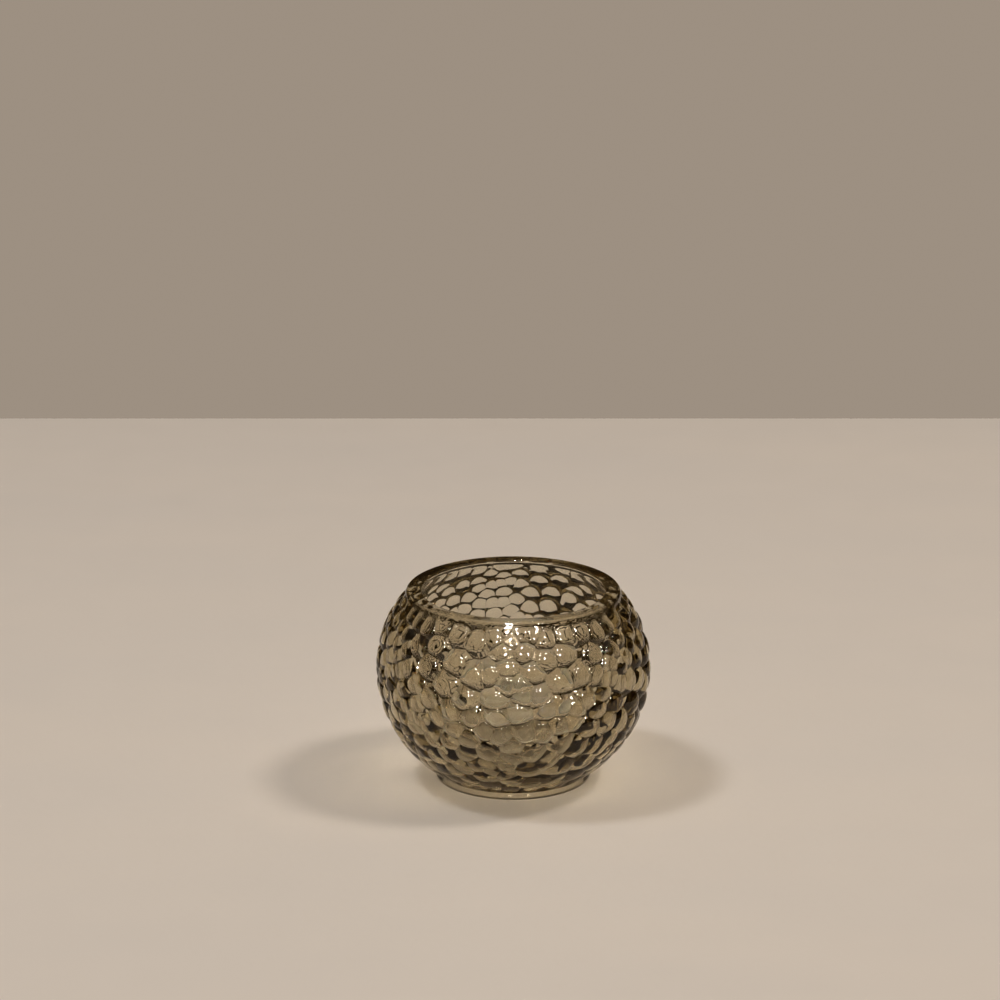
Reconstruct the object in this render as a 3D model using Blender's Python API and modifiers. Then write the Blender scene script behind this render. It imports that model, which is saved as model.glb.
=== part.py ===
"""A pebbled glass tealight holder, with its lift-out tealight.

The bowl is one piece of glass, blown in a pebbled mould, with its rim ground flat. The tealight is a separate assembly that stands on the bowl's
inner floor: an aluminium cup, the wax, the cotton wick and the steel sustainer that holds the wick.

Frame: metres, +Z up, origin at the centre of the foot, on the surface that the holder stands on.
Angles are in radians unless a name says otherwise.
"""

import math

import bmesh
import bpy
import numpy as np
from mathutils import Vector
from mathutils.geometry import delaunay_2d_cdt

MM = 0.001
GAP = 0.3 * MM  # between touching pieces
TAU = 2 * math.pi

# The bowl's outside: two quarter ellipses that meet at the equator, with a foot below and a rim above.
BOWL_HEIGHT = 60.2 * MM
BODY_RADIUS = 42.5 * MM  # on the crests of the pebbles, at the equator
EQUATOR_Z = 35.2 * MM
UPPER_SEMI_AXIS = 37.8 * MM
LOWER_SEMI_AXIS = 40.0 * MM
PEBBLES_FROM_Z = 2.3 * MM
PEBBLES_TO_Z = 58.8 * MM

RIM_OUTER_RADIUS = 32.3 * MM
RIM_INNER_RADIUS = 28.3 * MM
RIM_SHOULDER = 1.0 * MM  # radius of the rim's outer edge
RIM_EDGE = 0.35 * MM  # chamfer of the rim's inner edge
FOOT_RADIUS = 24.2 * MM
FOOT_STEP = 0.3 * MM  # height in which the last pebbles meet the plain foot
FOOT_EDGE = 0.5 * MM
FOOT_RING_WIDTH = 3.2 * MM
FOOT_RECESS = 2.2 * MM

# The bowl's inside: smooth, from the mouth to a flat floor that the tealight stands on.
CAVITY_RADIUS = 37.8 * MM
FLOOR_Z = 5.5 * MM
FLOOR_RADIUS = 20.3 * MM

# The pebbles. They are laid out in the plane of angle and v, where v grows by ds / r along the
# outline, so that a cell keeps its proportions there.
PEBBLE_COUNT = 460
PEBBLE_SEED = 11
RELAX_STEPS = 2
DOME_RADIUS = 7.2 * MM
FADE = 2.0 * MM  # width in which the grooves rise to meet the rim's and the foot's circles
SAME_CORNER = 1e-7  # distance in the plane under which two corners are one
EDGE_SPLITS = 3  # pieces of each cell edge that lies on the rim's or the foot's circle

# The tealight, a standard 38 mm one.
CUP_TOP_RADIUS = 18.9 * MM
CUP_BASE_RADIUS = 18.2 * MM
CUP_HEIGHT = 15.5 * MM
CUP_WALL = 0.35 * MM
CUP_CORNER = 1.2 * MM
CUP_LIP = 0.45 * MM  # radius of the rolled edge
CUP_NECK_Z = CUP_HEIGHT - 2.2 * CUP_LIP  # where the wall meets the rolled edge
WAX_HEIGHT = 12.6 * MM
WAX_DISH = 0.9 * MM  # how far the set wax sinks between the cup wall and the wick
WAX_CORNER = 0.8 * MM
SUSTAINER_RADIUS = 6.5 * MM
SUSTAINER_PLATE = 0.4 * MM
SUSTAINER_TUBE_RADIUS = 1.6 * MM
SUSTAINER_HEIGHT = 3.6 * MM
WICK_RADIUS = 0.9 * MM
WICK_TOP_Z = 19.5 * MM  # above the cup's base
WICK_LEAN = 1.1 * MM

TURN_STEPS = 72
SMALL_TURN_STEPS = 36
WICK_POINTS = 9
CUTTER_REACH = 5 * MM  # how far a cutter stands out of the glass


def clear_scene():
    for obj in list(bpy.data.objects):
        bpy.data.objects.remove(obj)


def collection_named(name):
    collection = bpy.data.collections.new(name)
    bpy.context.scene.collection.children.link(collection)
    return collection


def material_named(name, colour, roughness, metallic=0.0, transmission=0.0, alpha=1.0):
    material = bpy.data.materials.new(name)
    material.use_nodes = True
    shader = material.node_tree.nodes["Principled BSDF"]
    shader.inputs["Base Color"].default_value = (*colour, 1.0)
    shader.inputs["Roughness"].default_value = roughness
    shader.inputs["Metallic"].default_value = metallic
    shader.inputs["Transmission Weight"].default_value = transmission
    shader.inputs["Alpha"].default_value = alpha
    material.diffuse_color = (*colour, alpha)
    return material


def object_of(bm, name, collection, material=None):
    mesh = bpy.data.meshes.new(name)
    bm.to_mesh(mesh)
    bm.free()
    obj = bpy.data.objects.new(name, mesh)
    collection.objects.link(obj)
    if material:
        mesh.materials.append(material)
    return obj


def turned(name, profile, steps, collection, material=None):
    """A turned solid. Its profile is (radius, height) points that run down its outer side."""
    bm = bmesh.new()
    points = [bm.verts.new((radius, 0, height)) for radius, height in profile]
    for upper, lower in zip(points, points[1:]):
        bm.edges.new((upper, lower))
    if profile[0][0] > 0 and profile[-1][0] > 0:
        bm.edges.new((points[-1], points[0]))
    obj = object_of(bm, name, collection, material)
    screw = obj.modifiers.new("Turn", "SCREW")
    screw.axis = "Z"
    screw.steps = screw.render_steps = steps
    screw.use_merge_vertices = True
    screw.merge_threshold = 0.01 * MM
    screw.use_smooth_shade = True
    return obj


def arc(centre, radius, start_degrees, end_degrees, steps):
    """Points on a circle's arc, as (radius, height) pairs. 0 degrees points out, and 90 up."""
    turn = np.radians(np.linspace(start_degrees, end_degrees, steps + 1))
    return [(centre[0] + radius * math.cos(a), centre[1] + radius * math.sin(a)) for a in turn]


def cutter(obj):
    obj.hide_render = True
    obj.display_type = "WIRE"
    return obj


def cut(obj, cutter_object):
    boolean = obj.modifiers.new("Cut " + cutter_object.name, "BOOLEAN")
    boolean.operation = "DIFFERENCE"
    boolean.solver = "EXACT"
    boolean.object = cutter_object


# The pebbled outside.


def outline():
    """v, radius, height and the outward normal along the pebbled stretch, from foot to rim."""

    def turn_at(height):
        semi_axis = UPPER_SEMI_AXIS if height > EQUATOR_Z else LOWER_SEMI_AXIS
        return math.asin((height - EQUATOR_Z) / semi_axis)

    turn = np.linspace(turn_at(PEBBLES_FROM_Z), turn_at(PEBBLES_TO_Z), 1001)
    semi_axis = np.where(turn > 0, UPPER_SEMI_AXIS, LOWER_SEMI_AXIS)
    radius = BODY_RADIUS * np.cos(turn)
    height = EQUATOR_Z + semi_axis * np.sin(turn)
    step = np.hypot(np.diff(radius), np.diff(height))
    v = np.concatenate([[0.0], np.cumsum(2 * step / (radius[1:] + radius[:-1]))])
    out, up = semi_axis * np.cos(turn), BODY_RADIUS * np.sin(turn)
    length = np.hypot(out, up)
    return v, radius, height, out / length, up / length


def circumcentre(a, b, c):
    (bx, by), (cx, cy) = b - a, c - a
    double_area = 2 * (bx * cy - by * cx)
    b_square, c_square = bx * bx + by * by, cx * cx + cy * cy
    offset = (cy * b_square - by * c_square, bx * c_square - cx * b_square)
    return a + np.array(offset) / double_area


def cells_round(seeds, v_top):
    """The corners of each seed's Voronoi cell, in order, in the plane of angle and v.

    The seeds are repeated a turn to each side, so the cells close round the bowl, and mirrored in
    both ends of v, so the cells end exactly there.
    """
    turns = np.concatenate([seeds + (shift, 0) for shift in (0, -TAU, TAU)])
    mirrors = [turns * (1, -1) + (0, 2 * end) for end in (0, v_top)]
    points = np.concatenate([turns, *mirrors])
    result = delaunay_2d_cdt([Vector(point) for point in points], [], [], 0, 1e-9)
    triangles, origin_of = result[2], result[3]
    corners = [[] for _ in seeds]
    for triangle in triangles:
        ends = [origin_of[vertex][0] for vertex in triangle]
        owned = [end for end in ends if end < len(seeds)]
        if owned:
            centre = circumcentre(*points[ends])
            for end in owned:
                corners[end].append(centre)
    cells = []
    for seed, found in zip(seeds, corners):
        away = np.array(found) - seed
        cell = np.array(found)[np.argsort(np.arctan2(away[:, 1], away[:, 0]))]
        lengths = np.linalg.norm(cell - np.roll(cell, 1, axis=0), axis=1)
        cells.append(cell[lengths > SAME_CORNER])
    return cells


def centroid(polygon):
    following = np.roll(polygon, -1, axis=0)
    cross = polygon[:, 0] * following[:, 1] - following[:, 0] * polygon[:, 1]
    return ((polygon + following) * cross[:, None]).sum(axis=0) / (3 * cross.sum())


def pebble_cells(v, height):
    """Seeds, spread evenly over the glass and then relaxed so that the cells grow alike, and the cells."""
    random = np.random.default_rng(PEBBLE_SEED)
    seeds = random.uniform((0, height[0]), (TAU, height[-1]), (PEBBLE_COUNT, 2))
    seeds[:, 1] = np.interp(seeds[:, 1], height, v)
    for _ in range(RELAX_STEPS):
        seeds = np.array([centroid(cell) for cell in cells_round(seeds, v[-1])])
        seeds[:, 0] %= TAU
    return seeds, cells_round(seeds, v[-1])


def split_on_circles(cell, v_top):
    """The cell's corners, with each edge that lies on the rim's or the foot's circle split up."""
    corners = []
    for here, there in zip(cell, np.roll(cell, -1, axis=0)):
        corners.append(here)
        on_circle = any(abs(here[1] - end) + abs(there[1] - end) < 1e-6 for end in (0, v_top))
        if on_circle:
            shares = np.arange(1, EDGE_SPLITS) / EDGE_SPLITS
            corners += [here + share * (there - here) for share in shares]
    return corners


def pebbled_blank():
    """The bowl's solid outside: pebbles, rim and foot, before anything is cut from it."""
    v, radius, height, out, up = outline()
    v_top = v[-1]

    def surface_point(angle, along, from_seed=0.0):
        """A point of the surface, sunk as deep as the dome falls at its distance from the seed."""
        r = np.interp(along, v, radius)
        from_circle = min(along, v_top - along)
        sunk = (from_seed * r) ** 2 / (2 * DOME_RADIUS) * min(1, from_circle * r / FADE)
        z = np.interp(along, v, height) - sunk * np.interp(along, v, up)
        r -= sunk * np.interp(along, v, out)
        return r * math.cos(angle), r * math.sin(angle), z

    bm = bmesh.new()
    for seed, cell in zip(*pebble_cells(v, height)):
        crest = bm.verts.new(surface_point(*seed))
        ring = [
            bm.verts.new(surface_point(*corner, np.linalg.norm(corner - seed)))
            for corner in split_on_circles(cell, v_top)
        ]
        for here, there in zip(ring, ring[1:] + ring[:1]):
            bm.faces.new((crest, here, there))
    bmesh.ops.remove_doubles(bm, verts=bm.verts, dist=0.002 * MM)

    shoulder_centre = (RIM_OUTER_RADIUS - GAP, BOWL_HEIGHT - RIM_SHOULDER)
    rim = arc(shoulder_centre, RIM_SHOULDER, 30, 90, 3)
    foot = [(FOOT_RADIUS, PEBBLES_FROM_Z - FOOT_STEP), (FOOT_RADIUS, FOOT_EDGE)]
    foot += [(FOOT_RADIUS - FOOT_EDGE, 0)]
    for rows, at_top in ((rim, True), (foot, False)):
        for row in rows:
            loop = [edge for edge in bm.edges if edge.is_boundary]
            middle = BOWL_HEIGHT / 2
            loop = [edge for edge in loop if (edge.verts[0].co.z > middle) == at_top]
            made = bmesh.ops.extrude_edge_only(bm, edges=loop)["geom"]
            for vertex in (item for item in made if isinstance(item, bmesh.types.BMVert)):
                angle = math.atan2(vertex.co.y, vertex.co.x)
                vertex.co = (row[0] * math.cos(angle), row[0] * math.sin(angle), row[1])
    bmesh.ops.holes_fill(bm, edges=[edge for edge in bm.edges if edge.is_boundary], sides=0)
    bmesh.ops.recalc_face_normals(bm, faces=bm.faces)
    return bm


def cavity_profile():
    """The cutter for the bowl's inside, from above the mouth down to the floor's centre."""
    above = BOWL_HEIGHT + CUTTER_REACH
    mouth = [
        (0, above),
        (RIM_INNER_RADIUS + RIM_EDGE, above),
        (RIM_INNER_RADIUS + RIM_EDGE, BOWL_HEIGHT),
        (RIM_INNER_RADIUS, BOWL_HEIGHT - RIM_EDGE),
    ]

    def quarter(end_radius, end_height, steps):
        """Wall points between the equator and the given end, on one quarter ellipse."""
        turn = math.acos(end_radius / CAVITY_RADIUS)
        semi_axis = (end_height - EQUATOR_Z) / math.sin(turn)
        turns = np.linspace(0, turn, steps + 1)
        return [(CAVITY_RADIUS * math.cos(a), EQUATOR_Z + semi_axis * math.sin(a)) for a in turns]

    upper = quarter(RIM_INNER_RADIUS, BOWL_HEIGHT - RIM_EDGE, 7)[::-1]
    lower = quarter(FLOOR_RADIUS, FLOOR_Z, 8)
    return mouth + upper[1:] + lower[1:] + [(0, FLOOR_Z)]


def glass_bowl(parts, cutters):
    glass = material_named("Smoke glass", (0.42, 0.38, 0.28), 0.02, transmission=1.0, alpha=0.5)
    bowl = object_of(pebbled_blank(), "glass_bowl", parts, glass)
    cavity = cutter(turned("cavity_cutter", cavity_profile(), TURN_STEPS, cutters))
    recess_radius = FOOT_RADIUS - FOOT_RING_WIDTH
    recess_profile = [
        (0, FOOT_RECESS),
        (recess_radius - FOOT_RECESS / 3, FOOT_RECESS),
        (recess_radius, 0),
        (recess_radius, -CUTTER_REACH),
        (0, -CUTTER_REACH),
    ]
    recess = cutter(turned("recess_cutter", recess_profile, TURN_STEPS, cutters))
    cut(bowl, cavity)
    cut(bowl, recess)
    return bowl


# The tealight. Its heights are above the cup's base, and its objects stand at the cup's place.


def tealight_cup(parts):
    aluminium = material_named("Aluminium", (0.80, 0.80, 0.79), 0.30, metallic=1.0)
    lip_centre = (CUP_TOP_RADIUS, CUP_HEIGHT - CUP_LIP)
    inside_top = CUP_TOP_RADIUS - CUP_WALL
    profile = arc(lip_centre, CUP_LIP, 140, -60, 8)
    profile += [(CUP_TOP_RADIUS, CUP_NECK_Z)]
    profile += arc((CUP_BASE_RADIUS - CUP_CORNER, CUP_CORNER), CUP_CORNER, 0, -90, 4)
    profile += [(0, 0), (0, CUP_WALL)]
    inner_corner = CUP_CORNER - CUP_WALL
    profile += arc((CUP_BASE_RADIUS - CUP_CORNER, CUP_CORNER), inner_corner, -90, 0, 4)
    profile += [(inside_top, CUP_NECK_Z)]
    return turned("tealight_cup", profile, SMALL_TURN_STEPS, parts, aluminium)


def tealight_wax(parts):
    wax_colour = material_named("Wax", (0.90, 0.88, 0.82), 0.45)
    base = CUP_WALL + GAP
    slope = (CUP_TOP_RADIUS - CUP_BASE_RADIUS) / (CUP_HEIGHT - CUP_CORNER)
    clear_of_wall = CUP_BASE_RADIUS - CUP_WALL - GAP
    top_radius = clear_of_wall + slope * (WAX_HEIGHT - CUP_CORNER)
    wick_hole = WICK_RADIUS + GAP
    tube_hole = SUSTAINER_TUBE_RADIUS + GAP
    plate_hole = SUSTAINER_RADIUS + GAP
    shares = np.linspace(0, 1, 7)
    dish = [
        (wick_hole + share * (top_radius - wick_hole), WAX_HEIGHT - WAX_DISH * math.sin(math.pi * share))
        for share in shares
    ]
    profile = dish
    profile += [(clear_of_wall, CUP_CORNER + GAP), (clear_of_wall - WAX_CORNER, base), (plate_hole, base)]
    profile += [(plate_hole, base + SUSTAINER_PLATE + GAP), (tube_hole, base + SUSTAINER_PLATE + GAP)]
    profile += [(tube_hole, base + SUSTAINER_HEIGHT + GAP), (wick_hole, base + SUSTAINER_HEIGHT + GAP)]
    return turned("tealight_wax", profile, SMALL_TURN_STEPS, parts, wax_colour)


def wick_sustainer(parts):
    steel = material_named("Tinned steel", (0.62, 0.62, 0.60), 0.35, metallic=1.0)
    base = CUP_WALL + GAP
    bore = WICK_RADIUS + GAP
    profile = [
        (SUSTAINER_TUBE_RADIUS, base + SUSTAINER_HEIGHT),
        (SUSTAINER_TUBE_RADIUS, base + SUSTAINER_PLATE),
        (SUSTAINER_RADIUS, base + SUSTAINER_PLATE),
        (SUSTAINER_RADIUS, base),
        (bore, base),
        (bore, base + SUSTAINER_HEIGHT),
    ]
    return turned("wick_sustainer", profile, SMALL_TURN_STEPS, parts, steel)


def tealight_wick(parts):
    cotton = material_named("Cotton wick", (0.88, 0.86, 0.80), 0.9)
    curve = bpy.data.curves.new("tealight_wick", "CURVE")
    curve.dimensions = "3D"
    curve.bevel_depth = WICK_RADIUS
    curve.bevel_resolution = 2
    curve.use_fill_caps = True
    spline = curve.splines.new("POLY")
    spline.points.add(WICK_POINTS - 1)
    straight_to = WAX_HEIGHT
    heights = np.linspace(CUP_WALL + 2 * GAP, WICK_TOP_Z, WICK_POINTS)
    for point, height in zip(spline.points, heights):
        free = max(0, height - straight_to) / (WICK_TOP_Z - straight_to)
        point.co = (WICK_LEAN * free**2, 0, height, 1)
    wick = bpy.data.objects.new("tealight_wick", curve)
    curve.materials.append(cotton)
    parts.objects.link(wick)
    return wick


def tealight(parts):
    """The tealight's pieces, under an empty on the bowl's floor, which is where it lifts from."""
    seat = bpy.data.objects.new("tealight_seat", None)
    seat.location = (0, 0, FLOOR_Z + GAP)
    parts.objects.link(seat)
    for make in (tealight_cup, tealight_wax, wick_sustainer, tealight_wick):
        make(parts).parent = seat


def main():
    clear_scene()
    parts = collection_named("tealight_holder")
    cutters = collection_named("cutters")
    glass_bowl(parts, cutters)
    tealight(parts)


main()
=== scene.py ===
"""Looks for the pebbled smoke-glass tealight holder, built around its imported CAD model.

The fine glass repeats the CAD's outline and its layout of pebbles, with smooth domes in place of facets.
Metres, +Z up, origin at the centre of the foot.
"""

import math

import bmesh
import bpy
import numpy as np
from mathutils import Euler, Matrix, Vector
from mathutils.geometry import delaunay_2d_cdt

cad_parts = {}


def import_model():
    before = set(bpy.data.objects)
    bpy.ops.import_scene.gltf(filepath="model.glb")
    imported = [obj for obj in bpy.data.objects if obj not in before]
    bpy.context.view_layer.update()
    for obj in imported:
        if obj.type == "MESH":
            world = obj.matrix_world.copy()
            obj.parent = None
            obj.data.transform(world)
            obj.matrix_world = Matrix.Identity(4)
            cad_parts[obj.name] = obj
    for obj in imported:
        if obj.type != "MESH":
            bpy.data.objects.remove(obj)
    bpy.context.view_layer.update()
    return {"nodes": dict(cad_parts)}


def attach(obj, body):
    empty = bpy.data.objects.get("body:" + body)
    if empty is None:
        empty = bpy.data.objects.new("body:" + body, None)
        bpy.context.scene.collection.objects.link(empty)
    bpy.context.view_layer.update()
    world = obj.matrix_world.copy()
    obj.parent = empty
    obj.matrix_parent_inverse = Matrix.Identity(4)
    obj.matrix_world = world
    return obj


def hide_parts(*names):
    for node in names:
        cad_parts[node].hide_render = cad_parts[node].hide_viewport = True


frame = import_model()

MM = 0.001
TAU = 2 * math.pi

# The bowl, as in the CAD.
BOWL_HEIGHT = 60.2 * MM
BODY_RADIUS = 42.5 * MM
EQUATOR_Z = 35.2 * MM
UPPER_SEMI_AXIS = 37.8 * MM
LOWER_SEMI_AXIS = 40.0 * MM
PEBBLES_FROM_Z = 2.3 * MM
PEBBLES_TO_Z = 58.8 * MM
RIM_OUTER_RADIUS = 32.3 * MM
RIM_INNER_RADIUS = 28.3 * MM
RIM_SHOULDER = 1.0 * MM
RIM_STEP = 0.3 * MM
FOOT_RADIUS = 24.2 * MM
FOOT_STEP = 0.3 * MM
FOOT_EDGE = 0.5 * MM
FOOT_RING_WIDTH = 3.2 * MM
FOOT_RECESS = 2.2 * MM
CAVITY_RADIUS = 37.8 * MM
FLOOR_Z = 5.5 * MM
FLOOR_RADIUS = 20.3 * MM
PEBBLE_COUNT = 460
PEBBLE_SEED = 11
RELAX_STEPS = 2
SAME_POINT = 1e-9  # distances in the plane of angle and v under which points or corners are one
SAME_CORNER = 1e-7

# The fine glass: pebbles with a flat crown, steep straight flanks and a crease between them.
OUTLINE_POINTS = 1001
FAN_RINGS = 6  # rings of faces from a pebble's crest to its groove
FAN_CROWDING = 1.7  # above 1, the rings lie closer together towards the groove
CROWN_SHARE = 0.2  # 0 for a crown that is flat in the middle, 1 for an evenly round one
FLANK_FROM = 3.2 * MM
FLANK_SLOPE = 0.72
GROOVE_DEPTH = 0.14 * MM
GROOVE_WIDTH = 0.42 * MM
FADE = 2.0 * MM  # width in which the grooves rise to meet the rim's and the foot's circles
SOFTER_RELIEF = 0.38  # of the full relief, at the lower of the two heights
SOFTER_BELOW = (12 * MM, 34 * MM)
SAME_PLACE = 0.001 * MM  # under which two vertices are one
GLASS_SHARP_DEGREES = 30

# Its inside wall, which follows the pebbles softly.
INSIDE_FOLLOWS = 0.4  # of the depth outside
INSIDE_DOME_RADIUS = 6.6 * MM
INSIDE_SOFTNESS = 0.17 * MM
INSIDE_FADE = 3.0 * MM
MOUTH_EDGE = 0.4 * MM
WALL_TOP_Z = BOWL_HEIGHT - 0.5 * MM
WALL_TOLERANCE = 0.5 * MM
WALL_STEPS_ABOVE = 34
WALL_STEPS_BELOW = 44
FLOOR_SHARES = (0.97, 0.8, 0.5, 0.2, 0.02)  # rings of the floor and of the recess under the foot
RECESS_SHARES = (0.8, 0.5, 0.2, 0.02)

# Its tint acts partly at the surface and partly inside. All inside, it blackens the pebbles low down.
SURFACE_TINT = (0.895, 0.868, 0.805, 1.0)
GLASS_TINT = (0.50, 0.385, 0.05, 1.0)
GLASS_DENSITY = 72.0
GLASS_IOR = 1.52
GROUND_ROUGHNESS = 0.14
GROUND_BELOW_TOP = (0.2 * MM, 0.05 * MM)  # where the ground rim begins, and where it is fully ground

# The tealight, as in the CAD, in heights above the cup's base.
TEALIGHT_Z = FLOOR_Z + 0.3 * MM
CUP_TOP_RADIUS = 18.9 * MM
CUP_BASE_RADIUS = 18.2 * MM
CUP_HEIGHT = 15.5 * MM
CUP_WALL = 0.35 * MM
CUP_CORNER = 1.2 * MM
CUP_LIP = 0.45 * MM
CUP_NECK_Z = CUP_HEIGHT - 2.2 * CUP_LIP
WAX_HEIGHT = 12.6 * MM
WAX_DISH = 0.9 * MM
PLATE_HOLE = 6.8 * MM
PLATE_HOLE_TOP = 1.35 * MM
TUBE_HOLE = 1.9 * MM
TUBE_HOLE_TOP = 4.55 * MM
WICK_RADIUS = 0.9 * MM
WICK_TOP_Z = 19.5 * MM
WICK_LEAN = 1.1 * MM

# Its fine detail.
PLEAT_COUNT = 60
PLEAT_DEPTH = 0.11 * MM
PLEAT_STEPS = 6
BASE_LIFT = 0.2 * MM  # how far the middle of the cup's base is pressed up outside
BASE_RISE = 0.1 * MM  # and inside
SNUG = 0.06 * MM  # between the wax and what it was poured round
WAX_CLIMB = 0.5 * MM  # how far the wax climbs the wick and the cup
CLIMB_WIDTH = 0.8 * MM
WAX_RIPPLE = 0.05 * MM
WAX_RIPPLE_FROM = 0.8 * WAX_HEIGHT
WICK_FROM = CUP_WALL + 0.6 * MM
BRAID_PITCH = 2.6 * MM
BRAID_RELIEF = 0.16
BRAID_SIDES = 40
BRAID_ROWS = 170
BRAID_END_ROWS = 6
SHARP_DEGREES = 40

# The camera, the table and the light.
CAMERA_PLACE = (-0.0041, -1.1078, 0.4264)
CAMERA_PITCH = 16.96  # degrees below level
CAMERA_LENS = 136.8
CAMERA_SENSOR = 36
CAMERA_CLIP = 0.05
TABLE_FAR_EDGE = 0.406
TABLE_REACH = 4.0
LAMP_AIM = (0.0, 0.0, 0.03)
GLINT_COLOUR = (1.0, 0.97, 0.94)
GLINT_POWER = 20
BOUNCES = 24
WORLD_LEVEL = 0.85
WALL_COLOUR = (0.366, 0.309, 0.254)
DARK = (0.02, 0.015, 0.01)
CEILING = (0.28, 0.245, 0.21)
# Colours of the room by the direction's Z, on the far side of the holder and on the camera's side.
BEHIND = ((-0.2, WALL_COLOUR), (-0.15, WALL_COLOUR), (-0.12, DARK), (0.5, DARK), (0.75, CEILING))
BEFORE = ((-0.2, WALL_COLOUR), (-0.1, DARK), (0.5, DARK), (0.75, CEILING))
SIDE_BLEND = 0.3

# Sockets of the Mix node's colours, whose names repeat.
MIX_FIRST, MIX_SECOND, MIX_RESULT = 6, 7, 2


def shader_input(node, name, value):
    node.inputs[name].default_value = value


def new_material(name):
    material = bpy.data.materials.new(name)
    material.use_nodes = True
    nodes = material.node_tree.nodes
    return material, nodes, material.node_tree.links, nodes["Principled BSDF"]


def linked_object(name, data):
    made = bpy.data.objects.new(name, data)
    bpy.context.scene.collection.objects.link(made)
    return made


def smooth_object(bm, name, material, sharp_degrees):
    """The object of a finished bmesh, smooth but for its sharp edges."""
    mesh = bpy.data.meshes.new(name)
    bm.to_mesh(mesh)
    bm.free()
    mesh.shade_smooth()
    mesh.set_sharp_from_angle(angle=math.radians(sharp_degrees))
    mesh.materials.append(material)
    return linked_object(name, mesh)


# The pebbled surface


def outline():
    """v, radius, height and the outward normal along the pebbled stretch, from foot to rim."""

    def turn_at(height):
        semi_axis = UPPER_SEMI_AXIS if height > EQUATOR_Z else LOWER_SEMI_AXIS
        return math.asin((height - EQUATOR_Z) / semi_axis)

    turn = np.linspace(turn_at(PEBBLES_FROM_Z), turn_at(PEBBLES_TO_Z), OUTLINE_POINTS)
    semi_axis = np.where(turn > 0, UPPER_SEMI_AXIS, LOWER_SEMI_AXIS)
    radius = BODY_RADIUS * np.cos(turn)
    height = EQUATOR_Z + semi_axis * np.sin(turn)
    step = np.hypot(np.diff(radius), np.diff(height))
    v = np.concatenate([[0.0], np.cumsum(2 * step / (radius[1:] + radius[:-1]))])
    out, up = semi_axis * np.cos(turn), BODY_RADIUS * np.sin(turn)
    length = np.hypot(out, up)
    return v, radius, height, out / length, up / length


def circumcentre(a, b, c):
    (bx, by), (cx, cy) = b - a, c - a
    double_area = 2 * (bx * cy - by * cx)
    b_square, c_square = bx * bx + by * by, cx * cx + cy * cy
    offset = (cy * b_square - by * c_square, bx * c_square - cx * b_square)
    return a + np.array(offset) / double_area


def cells_round(seeds, v_top):
    """The corners of each seed's Voronoi cell, in order, in the plane of angle and v."""
    turns = np.concatenate([seeds + (shift, 0) for shift in (0, -TAU, TAU)])
    mirrors = [turns * (1, -1) + (0, 2 * end) for end in (0, v_top)]
    points = np.concatenate([turns, *mirrors])
    result = delaunay_2d_cdt([Vector(point) for point in points], [], [], 0, SAME_POINT)
    triangles, origin_of = result[2], result[3]
    corners = [[] for _ in seeds]
    for triangle in triangles:
        ends = [origin_of[vertex][0] for vertex in triangle]
        owned = [end for end in ends if end < len(seeds)]
        if owned:
            centre = circumcentre(*points[ends])
            for end in owned:
                corners[end].append(centre)
    cells = []
    for seed, found in zip(seeds, corners):
        away = np.array(found) - seed
        cell = np.array(found)[np.argsort(np.arctan2(away[:, 1], away[:, 0]))]
        lengths = np.linalg.norm(cell - np.roll(cell, 1, axis=0), axis=1)
        cells.append(cell[lengths > SAME_CORNER])
    return cells


def centroid(polygon):
    following = np.roll(polygon, -1, axis=0)
    cross = polygon[:, 0] * following[:, 1] - following[:, 0] * polygon[:, 1]
    return ((polygon + following) * cross[:, None]).sum(axis=0) / (3 * cross.sum())


def pebble_cells(v, height):
    v_top = v[-1]
    random = np.random.default_rng(PEBBLE_SEED)
    seeds = random.uniform((0, height[0]), (TAU, height[-1]), (PEBBLE_COUNT, 2))
    seeds[:, 1] = np.interp(seeds[:, 1], height, v)
    for _ in range(RELAX_STEPS):
        seeds = np.array([centroid(cell) for cell in cells_round(seeds, v_top)])
        seeds[:, 0] %= TAU
    return seeds, cells_round(seeds, v_top)


def fan_template():
    """Shares (towards the near corner, towards the next corner) and faces of one sector of a pebble."""
    spots, faces, first = [(0.0, 0.0)], [], 0
    for ring in range(1, FAN_RINGS + 1):
        reach = 1 - (1 - ring / FAN_RINGS) ** FAN_CROWDING
        start = len(spots)
        for step in range(ring + 1):
            share = step / ring
            spots.append((reach * (1 - share), reach * share))
        for step in range(ring):
            faces.append((first + step, start + step, start + step + 1))
            if step < ring - 1:
                faces.append((first + step, start + step + 1, first + step + 1))
        first = start
    return np.array(spots), np.array(faces)


def dome_depth(distance):
    """How far a pebble falls away at a distance from its seed: a flat crown, then steep straight flanks."""
    share = np.minimum(distance / FLANK_FROM, 1)
    crown = FLANK_SLOPE * FLANK_FROM / (4 - 2 * CROWN_SHARE) * share**2
    flank = FLANK_SLOPE * np.maximum(distance - FLANK_FROM, 0)
    return crown * (CROWN_SHARE + (1 - CROWN_SHARE) * share**2) + flank


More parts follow.
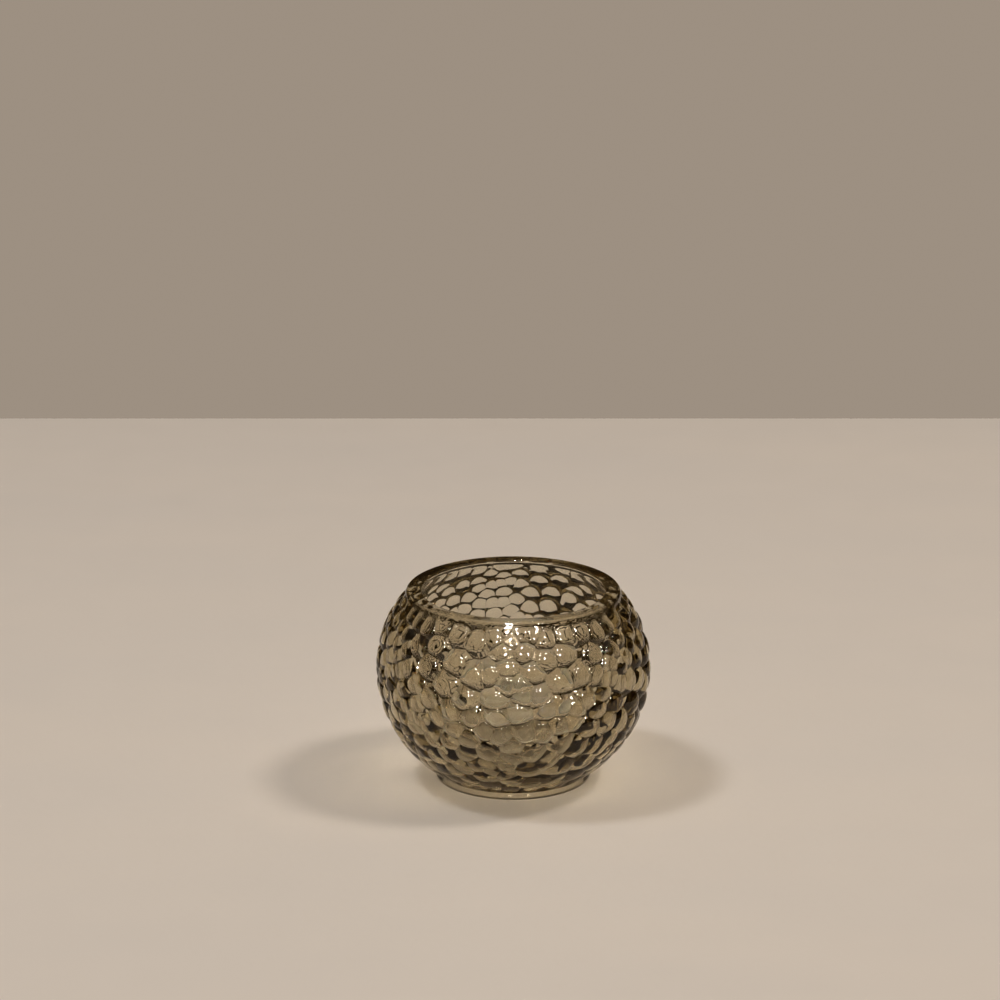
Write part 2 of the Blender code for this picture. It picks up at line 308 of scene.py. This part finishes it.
def pebbled_mesh(v, radius, height, out, up, seeds, cells):
    v_top = v[-1]
    spots, template = fan_template()
    places, sunk, faces, offset = [], [], [], 0
    for seed, cell in zip(seeds, cells):
        following = np.roll(cell, -1, axis=0)
        along = (following - cell) / np.linalg.norm(following - cell, axis=1, keepdims=True)
        inward = np.stack([-along[:, 1], along[:, 0]], axis=1)
        for here, there in zip(cell, following):
            away = spots[:, :1] * (here - seed) + spots[:, 1:] * (there - seed)
            place = seed + away
            to_groove = ((place[:, None] - cell) * inward).sum(axis=2).min(axis=1)
            r = np.interp(place[:, 1], v, radius)
            depth = dome_depth(np.linalg.norm(away, axis=1) * r)
            depth += GROOVE_DEPTH * np.exp(-np.maximum(to_groove, 0) * r / GROOVE_WIDTH)
            depth *= np.interp(np.interp(place[:, 1], v, height), SOFTER_BELOW, (SOFTER_RELIEF, 1))
            from_circle = np.minimum(place[:, 1], v_top - place[:, 1])
            sunk.append(depth * np.clip(from_circle * r / FADE, 0, 1))
            places.append(place)
            faces.append(template + offset)
            offset += len(spots)
    places, sunk, faces = np.concatenate(places), np.concatenate(sunk), np.concatenate(faces)
    r = np.interp(places[:, 1], v, radius)
    z = np.interp(places[:, 1], v, height) - sunk * np.interp(places[:, 1], v, up)
    r = r - sunk * np.interp(places[:, 1], v, out)
    points = np.stack([r * np.cos(places[:, 0]), r * np.sin(places[:, 0]), z], axis=1)
    bm = bmesh.new()
    mesh = bpy.data.meshes.new("pebbles")
    mesh.from_pydata(points.tolist(), [], faces.tolist())
    bm.from_mesh(mesh)
    bpy.data.meshes.remove(mesh)
    bmesh.ops.remove_doubles(bm, verts=bm.verts, dist=SAME_PLACE)
    return bm


# The rest of the glass


def arc(centre, radius, start_degrees, end_degrees, steps):
    turn = np.radians(np.linspace(start_degrees, end_degrees, steps + 1))
    return [(centre[0] + radius * math.cos(a), centre[1] + radius * math.sin(a)) for a in turn]


def wall_ellipse(end_radius, end_height):
    """The turn and the semi-axis of the quarter ellipse that takes the inside wall to the given end."""
    turn = math.acos(end_radius / CAVITY_RADIUS)
    return turn, (end_height - EQUATOR_Z) / math.sin(turn)


def inside_wall(end_radius, end_height, steps):
    """Points of the inside wall from the equator to the given end."""
    turn, semi_axis = wall_ellipse(end_radius, end_height)
    turns = np.linspace(0, turn, steps + 1)
    return [(CAVITY_RADIUS * math.cos(a), EQUATOR_Z + semi_axis * math.sin(a)) for a in turns]


def is_inside(place):
    """Whether a point is on the inside wall, between the floor and the rim."""
    if not FLOOR_Z < place.z < WALL_TOP_Z:
        return False
    if place.z > EQUATOR_Z:
        semi_axis = wall_ellipse(RIM_INNER_RADIUS, BOWL_HEIGHT)[1]
    else:
        semi_axis = wall_ellipse(FLOOR_RADIUS, FLOOR_Z)[1]
    wall = CAVITY_RADIUS * math.sqrt(1 - ((place.z - EQUATOR_Z) / semi_axis) ** 2)
    return math.hypot(place.x, place.y) < wall + WALL_TOLERANCE


def ripple_inside(points, v, radius, height, seeds):
    """Moves points of the inside wall in where the pebbles' grooves are, more softly than outside."""
    rise = np.arctan2(points[:, 2] - EQUATOR_Z, np.hypot(points[:, 0], points[:, 1]))
    outer_rise = np.arctan2(height - EQUATOR_Z, radius)
    along = np.interp(rise, outer_rise, v)
    turn = np.arctan2(points[:, 1], points[:, 0])
    across = (turn[:, None] - seeds[:, 0] + math.pi) % TAU - math.pi
    squares = (across**2 + (along[:, None] - seeds[:, 1]) ** 2) * np.interp(along, v, radius)[:, None] ** 2
    near = np.exp(-squares / (2 * INSIDE_DOME_RADIUS * INSIDE_SOFTNESS)).sum(axis=1)
    depth = -INSIDE_SOFTNESS * np.log(near) * INSIDE_FOLLOWS
    ends = np.minimum(points[:, 2] - FLOOR_Z, BOWL_HEIGHT - points[:, 2]) / INSIDE_FADE
    depth *= np.clip(ends, 0, 1)
    shrink = 1 - depth / np.hypot(points[:, 0], points[:, 1])
    return points * np.stack([shrink, shrink, np.ones(len(points))], axis=1)


def extend_round(bm, at_top, rows):
    """Carries the open loop at the rim or the foot on through the given (radius, height) rows."""
    middle = BOWL_HEIGHT / 2
    loop = [edge for edge in bm.edges if edge.is_boundary]
    loop = [edge for edge in loop if (edge.verts[0].co.z > middle) == at_top]
    for radius, height in rows:
        made = bmesh.ops.extrude_edge_only(bm, edges=loop)["geom"]
        loop = [item for item in made if isinstance(item, bmesh.types.BMEdge)]
        ends = [item for item in made if isinstance(item, bmesh.types.BMVert)]
        for vertex in ends:
            angle = math.atan2(vertex.co.y, vertex.co.x)
            vertex.co = (radius * math.cos(angle), radius * math.sin(angle), height)
        loop = [edge for edge in loop if edge.is_boundary]
    bmesh.ops.pointmerge(bm, verts=ends, merge_co=(0, 0, rows[-1][1]))


def rim_and_inside():
    """Rows from the pebbles' upper circle over the rim and down the inside to the floor's middle."""
    shoulder_centre = (RIM_OUTER_RADIUS - RIM_STEP, BOWL_HEIGHT - RIM_SHOULDER)
    shoulder = arc(shoulder_centre, RIM_SHOULDER, 15, 90, 6)
    edge_centre = (RIM_INNER_RADIUS + MOUTH_EDGE, BOWL_HEIGHT - MOUTH_EDGE)
    edge = arc(edge_centre, MOUTH_EDGE, 90, 180, 4)
    upper = inside_wall(RIM_INNER_RADIUS, WALL_TOP_Z, WALL_STEPS_ABOVE)[::-1]
    lower = inside_wall(FLOOR_RADIUS, FLOOR_Z, WALL_STEPS_BELOW)
    floor = [(FLOOR_RADIUS * share, FLOOR_Z) for share in FLOOR_SHARES]
    return shoulder + edge + upper[1:] + lower[1:] + floor


def foot():
    """Rows from the pebbles' lower circle round the foot ring and under it to the recess's middle."""
    rows = [(FOOT_RADIUS, PEBBLES_FROM_Z - FOOT_STEP)]
    rows += arc((FOOT_RADIUS - FOOT_EDGE, FOOT_EDGE), FOOT_EDGE, 0, -90, 4)
    recess = FOOT_RADIUS - FOOT_RING_WIDTH
    rows += [(recess, 0), (recess - FOOT_RECESS / 3, FOOT_RECESS)]
    return rows + [(recess * share, FOOT_RECESS) for share in RECESS_SHARES]


def glass_bowl():
    v, radius, height, out, up = outline()
    seeds, cells = pebble_cells(v, height)
    bm = pebbled_mesh(v, radius, height, out, up, seeds, cells)
    extend_round(bm, True, rim_and_inside())
    extend_round(bm, False, foot())
    bmesh.ops.recalc_face_normals(bm, faces=bm.faces)
    bm.verts.ensure_lookup_table()
    inside = [vertex for vertex in bm.verts if is_inside(vertex.co)]
    moved = ripple_inside(np.array([vertex.co for vertex in inside]), v, radius, height, seeds)
    for vertex, place in zip(inside, moved):
        vertex.co = place
    bowl = smooth_object(bm, "glass", smoke_glass(), GLASS_SHARP_DEGREES)
    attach(bowl, "holder")
    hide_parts("glass_bowl")
    return bowl


def smoke_glass():
    material, nodes, links, shader = new_material("smoke_glass")
    shader_input(shader, "Base Color", SURFACE_TINT)
    place = nodes.new("ShaderNodeTexCoord")
    split = nodes.new("ShaderNodeSeparateXYZ")
    links.new(place.outputs["Object"], split.inputs["Vector"])
    ground = nodes.new("ShaderNodeMapRange")
    shader_input(ground, "From Min", BOWL_HEIGHT - GROUND_BELOW_TOP[0])
    shader_input(ground, "From Max", BOWL_HEIGHT - GROUND_BELOW_TOP[1])
    shader_input(ground, "To Max", GROUND_ROUGHNESS)
    links.new(split.outputs["Z"], ground.inputs["Value"])
    links.new(ground.outputs["Result"], shader.inputs["Roughness"])
    shader_input(shader, "IOR", GLASS_IOR)
    shader_input(shader, "Transmission Weight", 1.0)
    absorption = nodes.new("ShaderNodeVolumeAbsorption")
    shader_input(absorption, "Color", GLASS_TINT)
    shader_input(absorption, "Density", GLASS_DENSITY)
    links.new(absorption.outputs["Volume"], nodes["Material Output"].inputs["Volume"])
    return material


# The tealight's materials


def noise(nodes, links, scale, detail=3.0, stretch=(1, 1, 1)):
    """Noise with so many grains to the metre, stretched along an axis where its factor is small."""
    place = nodes.new("ShaderNodeTexCoord")
    mapping = nodes.new("ShaderNodeMapping")
    shader_input(mapping, "Scale", stretch)
    links.new(place.outputs["Object"], mapping.inputs["Vector"])
    made = nodes.new("ShaderNodeTexNoise")
    shader_input(made, "Scale", scale)
    shader_input(made, "Detail", detail)
    links.new(mapping.outputs["Vector"], made.inputs["Vector"])
    return made.outputs["Fac"]


def mixed(nodes, links, share, first, second):
    """A colour between two, each of them a plain colour or another node's output."""
    mix = nodes.new("ShaderNodeMix")
    mix.data_type = "RGBA"
    links.new(share, mix.inputs["Factor"])
    for socket, colour in ((MIX_FIRST, first), (MIX_SECOND, second)):
        if isinstance(colour, tuple):
            mix.inputs[socket].default_value = (*colour, 1.0)
        else:
            links.new(colour, mix.inputs[socket])
    return mix.outputs[MIX_RESULT]


def ranged(nodes, links, value, low, high):
    """A number that goes from low to high with a value from 0 to 1."""
    span = nodes.new("ShaderNodeMapRange")
    shader_input(span, "To Min", low)
    shader_input(span, "To Max", high)
    links.new(value, span.inputs["Value"])
    return span.outputs["Result"]


def bump(nodes, links, value, shader, height, strength):
    made = nodes.new("ShaderNodeBump")
    shader_input(made, "Distance", height)
    shader_input(made, "Strength", strength)
    links.new(value, made.inputs["Height"])
    links.new(made.outputs["Normal"], shader.inputs["Normal"])


def foil():
    material, nodes, links, shader = new_material("cup_aluminium")
    shader_input(shader, "Metallic", 1.0)
    grain = noise(nodes, links, 900, stretch=(1, 1, 0.08))
    colour = mixed(nodes, links, grain, (0.74, 0.74, 0.73), (0.86, 0.86, 0.85))
    links.new(colour, shader.inputs["Base Color"])
    roughness = ranged(nodes, links, noise(nodes, links, 260), 0.16, 0.42)
    links.new(roughness, shader.inputs["Roughness"])
    bump(nodes, links, grain, shader, 0.02 * MM, 0.5)
    return material


def wax():
    material, nodes, links, shader = new_material("candle_wax")
    cloud = noise(nodes, links, 190, detail=5)
    # These wax colours are much darker than real wax. This is painted shade: it keeps the wax as dark as the
    # shaded inside of an empty holder where it shows through the glass.
    colour = mixed(nodes, links, cloud, (0.38, 0.345, 0.285), (0.47, 0.43, 0.36))
    links.new(colour, shader.inputs["Base Color"])
    roughness = ranged(nodes, links, noise(nodes, links, 420), 0.30, 0.52)
    links.new(roughness, shader.inputs["Roughness"])
    shader_input(shader, "Subsurface Weight", 0.35)
    shader_input(shader, "Subsurface Radius", (3 * MM, 2 * MM, 1 * MM))
    shader_input(shader, "Subsurface Scale", 1.0)
    bump(nodes, links, noise(nodes, links, 700, detail=6), shader, 0.05 * MM, 0.35)
    return material


def tin():
    material, nodes, links, shader = new_material("tinned_steel")
    shader_input(shader, "Metallic", 1.0)
    bloom = noise(nodes, links, 800)
    colour = mixed(nodes, links, bloom, (0.52, 0.52, 0.50), (0.68, 0.68, 0.66))
    links.new(colour, shader.inputs["Base Color"])
    links.new(ranged(nodes, links, bloom, 0.28, 0.5), shader.inputs["Roughness"])
    return material


def cotton():
    material, nodes, links, shader = new_material("wick_cotton")
    fibre = noise(nodes, links, 5200, detail=4, stretch=(1, 1, 0.25))
    colour = mixed(nodes, links, fibre, (0.66, 0.59, 0.47), (0.86, 0.81, 0.70))
    links.new(colour, shader.inputs["Base Color"])
    shader_input(shader, "Roughness", 0.8)
    shader_input(shader, "Sheen Weight", 0.3)
    bump(nodes, links, fibre, shader, 0.06 * MM, 0.8)
    return material


# The tealight's shapes


def turned(profile, steps, shift):
    """A solid turned from a closed outline of (radius, height), each point moved out and up by shift."""
    bm = bmesh.new()
    rings = []
    for radius, height in profile:
        turns = np.linspace(0, TAU, steps, endpoint=False) if radius > 0 else [0.0]
        moved = [shift(turn, radius, height) if radius > 0 else (0, 0) for turn in turns]
        places = [
            ((radius + out) * math.cos(turn), (radius + out) * math.sin(turn), height + up)
            for turn, (out, up) in zip(turns, moved)
        ]
        rings.append([bm.verts.new(place) for place in places])
    for ring, following in zip(rings, rings[1:] + rings[:1]):
        if len(ring) + len(following) > 2:
            for step in range(steps):
                corners = [(ring, step), (ring, step + 1), (following, step + 1), (following, step)]
                found = [circle[at % len(circle)] for circle, at in corners]
                bm.faces.new(list(dict.fromkeys(found)))
    return bm


def raised(profile):
    return [(radius, TEALIGHT_Z + height) for radius, height in profile]


def pleat(turn, height):
    """How far the cup's pleated wall stands out: not at all at its corner and its rolled edge."""
    share = min(max((height - CUP_CORNER) / (CUP_NECK_Z - CUP_CORNER), 0), 1)
    return PLEAT_DEPTH * math.sqrt(math.sin(math.pi * share)) * math.cos(PLEAT_COUNT * turn)


def foil_cup():
    def wall(base, top, shares):
        points = [(base + (top - base) * share, (CUP_NECK_Z - CUP_CORNER) * share) for share in shares]
        return [(radius, CUP_CORNER + height) for radius, height in points]

    rise = np.linspace(0, 1, 15)[1:-1]
    corner_centre = (CUP_BASE_RADIUS - CUP_CORNER, CUP_CORNER)
    inside_top = CUP_TOP_RADIUS - CUP_WALL
    inside_base_z = CUP_WALL + BASE_RISE
    profile = arc((CUP_TOP_RADIUS, CUP_HEIGHT - CUP_LIP), CUP_LIP, 140, -60, 14)
    profile += [(CUP_TOP_RADIUS, CUP_NECK_Z), *wall(CUP_BASE_RADIUS, CUP_TOP_RADIUS, rise[::-1])]
    profile += arc(corner_centre, CUP_CORNER, 0, -90, 6)
    profile += [(0.7 * CUP_BASE_RADIUS, 0), (0.66 * CUP_BASE_RADIUS, BASE_LIFT), (0, BASE_LIFT)]
    profile += [(0, inside_base_z), (0.64 * CUP_BASE_RADIUS, inside_base_z)]
    profile += [(0.72 * CUP_BASE_RADIUS, CUP_WALL)]
    profile += arc(corner_centre, CUP_CORNER - CUP_WALL, -90, 0, 6)
    profile += [*wall(CUP_BASE_RADIUS - CUP_WALL, inside_top, rise), (inside_top, CUP_NECK_Z)]

    def shift(turn, radius, height):
        return pleat(turn, height - TEALIGHT_Z), 0

    return turned(raised(profile), PLEAT_COUNT * PLEAT_STEPS, shift)


def poured_wax():
    """Wax that fills the cup, sunk between the wall and the wick, and climbing both a little."""
    base = CUP_WALL + BASE_RISE + SNUG
    slope = (CUP_TOP_RADIUS - CUP_BASE_RADIUS) / (CUP_NECK_Z - CUP_CORNER)
    lowest = CUP_BASE_RADIUS - CUP_WALL - SNUG
    top_radius = lowest + slope * (WAX_HEIGHT - CUP_CORNER)
    hole = WICK_RADIUS + SNUG
    profile = []
    for share in np.linspace(0, 1, 41) ** 1.3:
        radius = hole + share * (top_radius - hole)
        height = WAX_HEIGHT - WAX_DISH * math.sin(math.pi * share)
        for away in (radius - hole, top_radius - radius):
            height += WAX_CLIMB * math.exp(-away / CLIMB_WIDTH)
        profile.append((radius, height))
    for height in np.linspace(WAX_HEIGHT, CUP_CORNER, 12)[1:]:
        profile.append((lowest + slope * (height - CUP_CORNER), height))
    profile += arc((lowest - CUP_CORNER, base + CUP_CORNER), CUP_CORNER, -15, -90, 4)
    profile += [(PLATE_HOLE, base), (PLATE_HOLE, PLATE_HOLE_TOP), (TUBE_HOLE, PLATE_HOLE_TOP)]
    profile += [(TUBE_HOLE, TUBE_HOLE_TOP), (hole, TUBE_HOLE_TOP)]

    def shift(turn, radius, height):
        """The cup's pleats near the wall, and a slow ripple on top."""
        out = pleat(turn, height - TEALIGHT_Z) * (radius / top_radius) ** 12
        ripple = math.sin(2 * turn + 1) + 0.6 * math.sin(3 * turn + radius / MM)
        up = WAX_RIPPLE * ripple * (height - TEALIGHT_Z > WAX_RIPPLE_FROM)
        return out, up

    return turned(raised(profile), PLEAT_COUNT * PLEAT_STEPS, shift)


def braided_wick():
    """A braid: strands that cross in two directions round a centre line that leans above the wax."""
    bm = bmesh.new()
    rings = []
    low = TEALIGHT_Z + WICK_FROM
    for along in np.linspace(0, 1, BRAID_ROWS):
        height = low + along * (TEALIGHT_Z + WICK_TOP_Z - low)
        free = max(0, height - TEALIGHT_Z - WAX_HEIGHT) / (WICK_TOP_Z - WAX_HEIGHT)
        end = min(1, math.sqrt(max(0, (1 - along) * BRAID_ROWS / BRAID_END_ROWS)))
        twist = TAU * (height - low) / (BRAID_PITCH * 2)
        ring = []
        for side in range(BRAID_SIDES):
            turn = TAU * side / BRAID_SIDES
            strand = max(abs(math.cos(1.5 * (turn - twist))), abs(math.cos(1.5 * (turn + twist))))
            radius = WICK_RADIUS * (1 - BRAID_RELIEF + BRAID_RELIEF * strand) * (0.55 + 0.45 * end)
            place = (WICK_LEAN * free**2 + radius * math.cos(turn), radius * math.sin(turn), height)
            ring.append(bm.verts.new(place))
        rings.append(ring)
    for ring, following in zip(rings, rings[1:]):
        for side in range(BRAID_SIDES):
            after = (side + 1) % BRAID_SIDES
            bm.faces.new((ring[side], ring[after], following[after], following[side]))
    for ring in (rings[0], rings[-1]):
        bm.faces.new(ring)
    return bm


def tealight():
    pieces = (
        ("cup", foil_cup, foil, "tealight_cup", "cup_aluminium"),
        ("wax", poured_wax, wax, "tealight_wax", "candle_wax"),
        ("wick", braided_wick, cotton, "tealight_wick", "wick_cotton"),
    )
    made = []
    for name, make, material, node, slot in pieces:
        bm = make()
        bmesh.ops.recalc_face_normals(bm, faces=bm.faces)
        piece = smooth_object(bm, name, material(), SHARP_DEGREES)
        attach(piece, "tealight")
        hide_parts(node)
        made.append(piece)
    sustainer = frame["nodes"]["wick_sustainer"]
    sustainer.data.materials.clear()
    sustainer.data.materials.append(tin())
    return [*made, sustainer]


# The stage


def table_paint():
    material, nodes, links, shader = new_material("table")
    cloud = noise(nodes, links, 16, detail=6, stretch=(0.35, 1, 1))
    colour = mixed(nodes, links, cloud, (0.77, 0.715, 0.655), (0.83, 0.755, 0.67))
    links.new(colour, shader.inputs["Base Color"])
    roughness = ranged(nodes, links, noise(nodes, links, 60), 0.5, 0.7)
    links.new(roughness, shader.inputs["Roughness"])
    return material


def table():
    bm = bmesh.new()
    reach = TABLE_REACH
    corners = ((-reach, -reach), (reach, -reach), (reach, TABLE_FAR_EDGE), (-reach, TABLE_FAR_EDGE))
    bm.faces.new([bm.verts.new((x, y, 0)) for x, y in corners])
    mesh = bpy.data.meshes.new("table")
    bm.to_mesh(mesh)
    bm.free()
    mesh.materials.append(table_paint())
    linked_object("table", mesh)


def pieces_of(name, pieces):
    collection = bpy.data.collections.new(name)
    for piece in pieces:
        collection.objects.link(piece)
    return collection


def area_lamp(name, place, size, power, colour, through=(), only=(), seen=True):
    """A round lamp.

    It shines on all pieces or on only some, and through some without a shadow. It is seen in mirrors or not.
    """
    light = bpy.data.lights.new(name, "AREA")
    light.shape = "DISK"
    light.size = size
    light.energy = power
    light.color = colour
    lamp = linked_object(name, light)
    lamp.location = place
    lamp.rotation_euler = (Vector(LAMP_AIM) - Vector(place)).to_track_quat("-Z", "Y").to_euler()
    lamp.visible_glossy = seen
    if only:
        lamp.light_linking.receiver_collection = pieces_of(name + "_lights", only)
    if through:
        blockers = pieces_of(name + "_blockers", through)
        lamp.light_linking.blocker_collection = blockers
        for linked in blockers.collection_objects:
            linked.light_linking.link_state = "EXCLUDE"


def lights(glass, candle):
    area_lamp("high_glint", (-0.15, -1.1, 1.75), 0.26, GLINT_POWER, GLINT_COLOUR, only=[glass])
    area_lamp("low_glint", (-0.15, -1.75, 1.1), 0.26, GLINT_POWER, GLINT_COLOUR, only=[glass])
    area_lamp("right_high_glint", (0.75, -0.9, 1.75), 0.2, GLINT_POWER / 2, GLINT_COLOUR, only=[glass])
    area_lamp("right_low_glint", (0.75, -1.55, 1.1), 0.2, GLINT_POWER / 2, GLINT_COLOUR, only=[glass])
    area_lamp("right_lamp", (0.95, 0.1, 1.40), 0.30, 6.3, (1.0, 0.92, 0.84), seen=False)
    area_lamp("left_lamp", (-0.75, 0.0, 1.55), 0.30, 5.2, (0.95, 0.96, 1.0), seen=False)
    through = [glass, *candle]
    area_lamp("through_lamp", (-0.1, -0.6, 1.6), 0.5, 5.5, (1.0, 0.94, 0.86), through, seen=False)


def ramp_of(nodes, links, value, low, high, stops):
    """A colour that changes with a value through (place, colour) stops between low and high."""
    span = nodes.new("ShaderNodeMapRange")
    shader_input(span, "From Min", low)
    shader_input(span, "From Max", high)
    links.new(value, span.inputs["Value"])
    ramp = nodes.new("ShaderNodeValToRGB")
    links.new(span.outputs["Result"], ramp.inputs["Fac"])
    places = [(place - low) / (high - low) for place, _ in stops]
    for element, place in zip(ramp.color_ramp.elements, (places[0], places[-1])):
        element.position = place
    for place in places[1:-1]:
        ramp.color_ramp.elements.new(place)
    for element, (_, colour) in zip(ramp.color_ramp.elements, stops):
        element.color = (*colour, 1.0)
    return ramp.outputs["Color"]


def world():
    """A room that is dark at eye level, which outlines the pebbles. The camera sees a plain wall."""
    made = bpy.data.worlds.new("studio")
    made.use_nodes = True
    nodes, links = made.node_tree.nodes, made.node_tree.links
    spot = nodes.new("ShaderNodeTexCoord")
    split = nodes.new("ShaderNodeSeparateXYZ")
    links.new(spot.outputs["Generated"], split.inputs["Vector"])
    behind = ramp_of(nodes, links, split.outputs["Z"], -1, 1, BEHIND)
    before = ramp_of(nodes, links, split.outputs["Z"], -1, 1, BEFORE)
    side = nodes.new("ShaderNodeMapRange")
    shader_input(side, "From Min", -SIDE_BLEND)
    shader_input(side, "From Max", SIDE_BLEND)
    links.new(split.outputs["Y"], side.inputs["Value"])
    room = mixed(nodes, links, side.outputs["Result"], before, behind)
    path = nodes.new("ShaderNodeLightPath")
    seen = mixed(nodes, links, path.outputs["Is Camera Ray"], room, WALL_COLOUR)
    background = nodes["Background"]
    links.new(seen, background.inputs["Color"])
    shader_input(background, "Strength", WORLD_LEVEL)
    bpy.context.scene.world = made


def camera():
    data = bpy.data.cameras.new("camera")
    data.lens = CAMERA_LENS
    data.sensor_width = CAMERA_SENSOR
    data.clip_start = CAMERA_CLIP
    made = linked_object("camera", data)
    made.location = CAMERA_PLACE
    made.rotation_euler = Euler((math.radians(90 - CAMERA_PITCH), 0, 0))
    bpy.context.scene.camera = made


def render_looks():
    scene = bpy.context.scene
    scene.view_settings.view_transform = "Standard"
    scene.view_settings.look = "Medium High Contrast"
    scene.cycles.max_bounces = BOUNCES
    scene.cycles.transmission_bounces = BOUNCES
    scene.cycles.glossy_bounces = BOUNCES // 2


camera()
table()
world()
lights(glass_bowl(), tealight())
render_looks()
